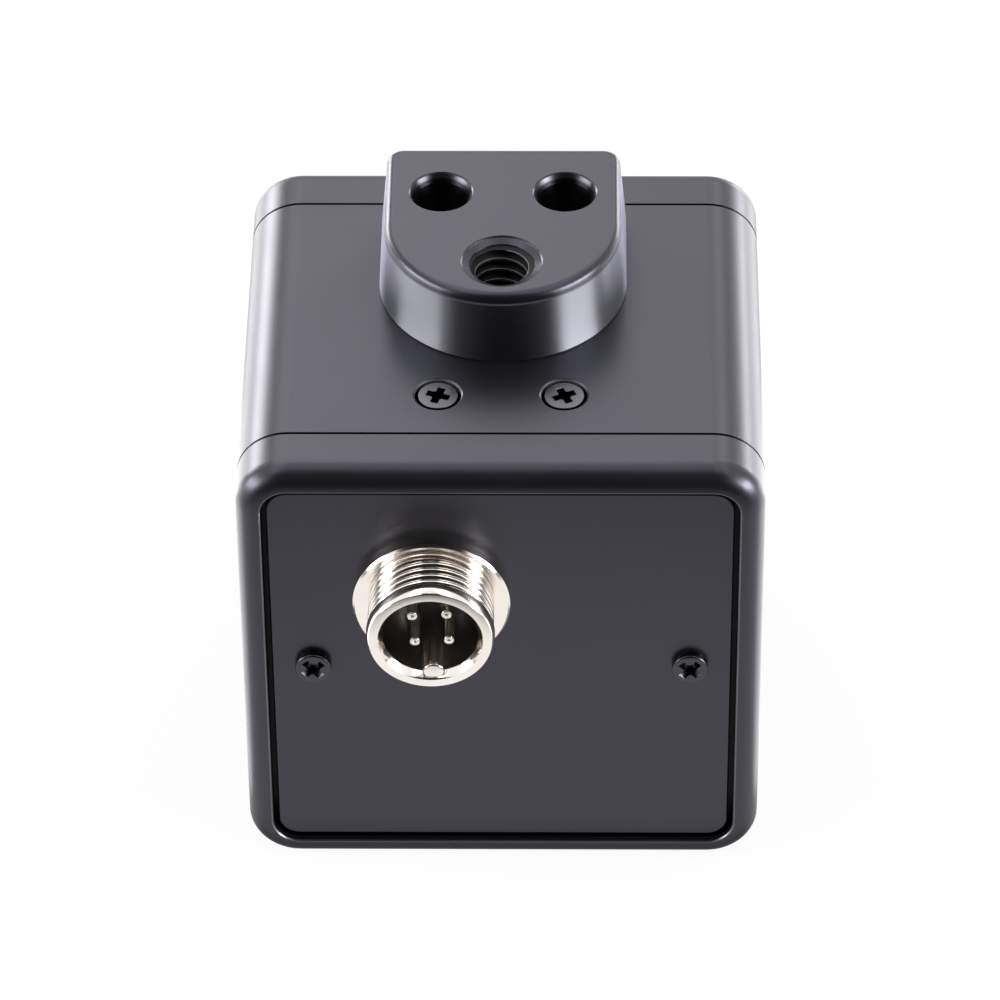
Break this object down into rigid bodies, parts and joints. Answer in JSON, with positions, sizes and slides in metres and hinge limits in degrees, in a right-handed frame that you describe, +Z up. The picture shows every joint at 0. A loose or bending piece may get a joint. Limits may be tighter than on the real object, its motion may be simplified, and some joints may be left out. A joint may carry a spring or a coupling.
{
  "type": "usb camera",
  "caption": "Cube-shaped USB camera in a black anodised case, with a tripod block on top, a round keyed connector at the rear and a focusing screw-in lens at the front.",
  "frame": {"origin": "middle of the case's flat bottom face", "axes": "+Z up towards the tripod block, +Y towards the lens, -Y out of the rear connector"},
  "size_m": [0.05, 0.0577, 0.0576],
  "materials": {
    "case_anodised": "bead-blasted and black anodised",
    "screw_black": "black oxide, cross recess",
    "screw_grey": "plain grey steel, cross recess",
    "connector_nickel": "bright nickel plate on brass",
    "connector_insulator": "black moulded insulator",
    "pin_silver": "silver plated brass",
    "nut_nickel": "nickel plated brass",
    "board_laminate": "green solder mask on glass-filled laminate",
    "standoff_brass": "turned brass",
    "screw_steel": "zinc plated steel",
    "chip_black": "black moulded package",
    "crystal_can": "drawn nickel silver can",
    "socket_ivory": "ivory nylon",
    "wire_sleeve": "soft extruded insulation",
    "holder_black": "black glass-filled nylon",
    "lens_metal": "turned and black anodised",
    "lens_glass": "coated optical glass",
    "filter_glass": "coated flat filter glass"
  },
  "bodies": {
    "housing": {"body_sleeve": "case_anodised", "rear_frame": "case_anodised", "front_frame": "case_anodised", "rear_plate": "case_anodised", "front_plate": "case_anodised", "mount_block": "case_anodised", "rear_plate_screws": "screw_black", "front_plate_screws": "screw_black", "mount_block_screws": "screw_black", "top_screws": "screw_grey", "connector_shell": "connector_nickel", "connector_insert": "connector_insulator", "connector_pins": "pin_silver", "connector_washer": "nut_nickel", "connector_nut": "nut_nickel", "camera_board": "board_laminate", "board_standoffs": "standoff_brass", "board_screws": "screw_steel", "image_sensor": "chip_black", "image_processor": "chip_black", "clock_crystal": "crystal_can", "board_socket": "socket_ivory", "wire_plug": "socket_ivory", "usb_wires": "wire_sleeve", "lens_holder": "holder_black", "lens_holder_screws": "screw_steel", "ir_filter": "filter_glass", "lens_lock_ring": "lens_metal"},
    "lens": {"lens_barrel": "lens_metal", "lens_spacer": "lens_metal", "lens_retaining_ring": "lens_metal", "lens_front_glass": "lens_glass", "lens_rear_glass": "lens_glass"}
  },
  "joints": [
    {"name": "lens_focus", "type": "hinge", "parent": "housing", "child": "lens", "pos_m": [0, 0.0224, 0.025], "axis": [0, 1, 0], "range_deg": [-180, 180]}
  ]
}
